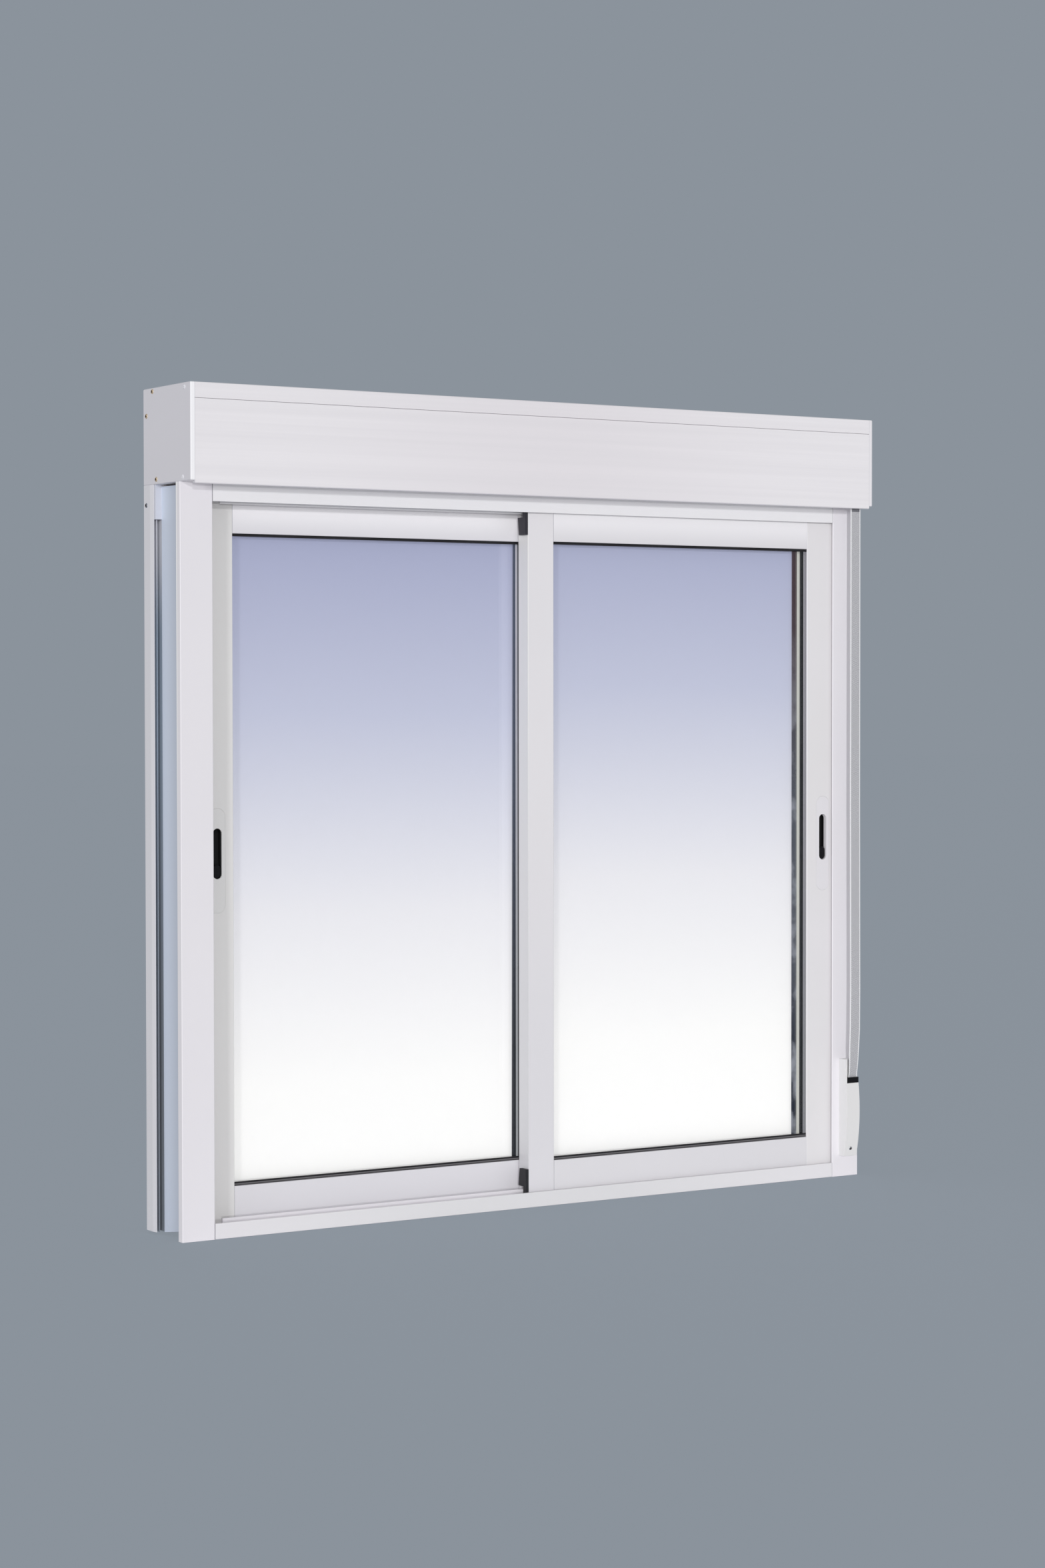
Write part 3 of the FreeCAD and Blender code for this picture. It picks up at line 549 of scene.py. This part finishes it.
# Below a white band of wall the slot is black; the band is narrower on the left pull, where painted
# shade covers more of the wall.
for side, wall, tone in (
    ("left", 0.0012, shade(234, 233, 231)),
    ("right", 0.0055, shade(236, 233, 237)),
):
    wall_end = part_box(f"{side}_sash_pull")[0].y + wall
    pull = Finish(f"{side}_pull_white")
    pore = pull.noise(mould_grain)
    white = pull.blend(pore * 0.5, tone, shade(226, 225, 228))
    inside = pull.rise(pull.y, wall_end, wall_end + wall_fade)
    pull.feed({"Base Color": pull.blend(inside, white, shade(8, 8, 10))})
    pull.feed({"Roughness": 0.36 + pore * 0.2})
    pull.bump(pore, mould_depth)
    pull.coat(f"{side}_sash_pull")
black.coat("left_sash_latch", "right_sash_latch")

# Lift strap: a woven polyester band, grey diagonals on white with plain white selvedges, that
# comes out of the box through a white bush and winds into the case on the right jamb. Each row
# gives a height, the two edges and the depth of the band.
strap_rows = (
    (1.0760, 0.5673, 0.5837, -0.0360),
    (1.0640, 0.5673, 0.5837, -0.0360),
    (1.0590, 0.5656, 0.5845, -0.0360),
    (0.6000, 0.5652, 0.5846, -0.0360),
    (0.3000, 0.5662, 0.5857, -0.0360),
    (0.2350, 0.5654, 0.5852, -0.0360),
    (0.2050, 0.5650, 0.5842, -0.0352),
    (0.1850, 0.5671, 0.5848, -0.0325),
    (0.1680, 0.5692, 0.5857, -0.0290),
    (0.1590, 0.5696, 0.5857, -0.0270),
    (0.1480, 0.5696, 0.5857, -0.0270),
)
half_thickness = 0.00045
selvedge_share = 0.085
shares = (0.0, selvedge_share, 0.3, 0.5, 0.7, 1.0 - selvedge_share, 1.0)
points, faces, edges = [], [], []
for z, left, right, y in strap_rows:
    for depth in (-half_thickness, half_thickness):
        points += [(left + (right - left) * share, y + depth, z) for share in shares]
count = len(shares)
for row in range(len(strap_rows) - 1):
    top, foot = 2 * count * row, 2 * count * (row + 1)
    for i in range(count - 1):
        faces.append((top + i, foot + i, foot + i + 1, top + i + 1))
        back, back_foot = top + count + i, foot + count + i
        faces.append((back, back + 1, back_foot + 1, back_foot))
        edges += [i in (0, count - 2)] * 2
    faces.append((top, top + count, foot + count, foot))
    last, last_foot = top + count - 1, foot + count - 1
    faces.append((last, last_foot, last_foot + count, last + count))
    edges += [True, True]
mesh = bpy.data.meshes.new("woven_strap")
mesh.from_pydata(points, [], faces)

check_pitch, yarn_half, twill = 0.0027, 0.0007, 0.9
bush_shadow, bush_mouth = 1.0545, 1.0560
weave = Finish("strap_weave")
fibre = weave.noise((1800.0, 1800.0, 600.0), 2.0)
white_yarn = weave.blend(fibre, shade(238, 238, 241), shade(222, 222, 226))
grey_yarn = weave.blend(fibre, shade(152, 152, 158), shade(134, 134, 140))
rising = weave.x + weave.z * twill
falling = weave.x - weave.z * twill
rising_yarn = abs(rising % check_pitch - check_pitch / 2) < yarn_half
falling_yarn = abs(falling % check_pitch - check_pitch / 2) < yarn_half
check = rising_yarn + falling_yarn
woven = weave.blend(check * 0.5, white_yarn, grey_yarn)
shadow = weave.rise(weave.z, bush_shadow, bush_mouth)
weave.feed({"Base Color": weave.blend(shadow, woven, shade(120, 120, 126)), "Roughness": 0.85})
weave.bump(check, 0.0002)
selvedge = Finish("strap_selvedge")
ply = selvedge.noise((300.0, 300.0, 900.0), 2.0)
selvedge.feed({"Base Color": selvedge.blend(ply, shade(255, 255, 255), shade(222, 222, 226))})
selvedge.feed({"Roughness": 0.85})
selvedge.bump(ply, 0.0002)
mesh.materials.append(weave.material)
mesh.materials.append(selvedge.material)
for face, edge in zip(mesh.polygons, edges):
    face.material_index = int(edge)
strap = placed("woven_strap", mesh)
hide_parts("strap")
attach(strap, "frame")
moulded = moulding("moulded_white", shade(234, 233, 233), shade(228, 227, 227))
moulded.coat("strap_bush")

# Strap winder: a white moulded case on the right jamb with the spring drum inside, a black
# liner in its mouth and one screw at its foot.
moulded.coat("winder_case")
black.coat("winder_mouth")
winder_screw, winder_radius = (0.5735, -0.0281, 0.0455), 0.0028
case_front = Vector((0.0, -0.9793, -0.2025))
screw("winder_screw", winder_screw, case_front, winder_radius, steel, recess)

# Studio: a pale floor, a key and a side light from the camera's left, a low fill that reaches
# under the box, and even light from all round. Seen directly, floor and room are one blue grey.


class Room(Finish):
    """The world round the object, which has light where a material has a surface."""

    def __init__(self, name):
        self.world = bpy.data.worlds.new(name)
        self.take_nodes(self.world, "Background", "World Output")


def direct_rays(finish):
    """1 for what the camera sees straight, in a gloss or through glass."""
    rays = finish.node("LightPath", {}, {}).socket.node
    kinds = ("Is Camera Ray", "Is Glossy Ray", "Is Transmission Ray")
    straight, mirrored, through = (Field(finish, rays.outputs[kind]) for kind in kinds)
    return straight + mirrored + through


backdrop = shade(139, 147, 156)
even_light = 0.43
room = Room("studio")
bpy.context.scene.world = room.world
room.feed({"Color": (0.98, 0.99, 1.0, 1.0), "Strength": even_light})
seen = room.node("Background", {}, {"Color": backdrop})
room.show(direct_rays(room), room.own, seen)

floor_reach, floor_drop = 30.0, 0.0005
floor_glow, shadow_share = 1.165, 0.25
ground = Finish("studio_floor")
ground.feed({"Base Color": shade(246, 246, 248), "Roughness": 0.9})
lit = ground.node("BsdfDiffuse", {}, {"Color": backdrop})
glow = ground.node("Emission", {}, {"Color": backdrop, "Strength": floor_glow})
seen = ground.node("MixShader", {}, {0: shadow_share, 1: glow, 2: lit})
ground.show(direct_rays(ground), ground.own, seen)
quarters = ((-1, -1), (1, -1), (1, 1), (-1, 1))
points = [(x * floor_reach, y * floor_reach, -floor_drop) for x, y in quarters]
mesh = bpy.data.meshes.new("floor")
mesh.from_pydata(points, [], [(0, 1, 2, 3)])
mesh.materials.append(ground.material)
floor = placed("floor", mesh)

# Each lamp has a strength, a softness, and its degrees to the left of the window and up.
lamps = (("side", 0.74, 8, 50, 6), ("key", 0.575, 3, 26, 10.7), ("fill", 0.5, 2, 26, 1.5))
for name, strength, softness, left, up in lamps:
    lamp = bpy.data.lights.new(name, "SUN")
    lamp.energy = strength
    lamp.angle = math.radians(softness)
    bearing = math.radians(left)
    travel = Vector((math.sin(bearing), math.cos(bearing), -math.tan(math.radians(up))))
    placed(name, lamp).rotation_euler = travel.to_track_quat("-Z", "Y").to_euler()

# Camera: a long lens on a stand to the left of the window, a little above its middle. It is
# turned right towards the window and tipped slightly down.
stand = Matrix.Translation((-2.6228, -4.0662, 0.7617))
turn_right, tip_down, roll = 0.56818, 0.02654, 0.00115
lens = bpy.data.cameras.new("camera")
lens.lens = 74.22
lens.sensor_width = 36.0
lens.clip_end = 100.0
camera = placed("camera", lens)
aim = Matrix.Rotation(-turn_right, 4, "Z") @ Matrix.Rotation(math.pi / 2 - tip_down, 4, "X")
camera.matrix_world = stand @ aim @ Matrix.Rotation(-roll, 4, "Z")
bpy.context.scene.camera = camera
bpy.context.scene.view_settings.view_transform = "Standard"
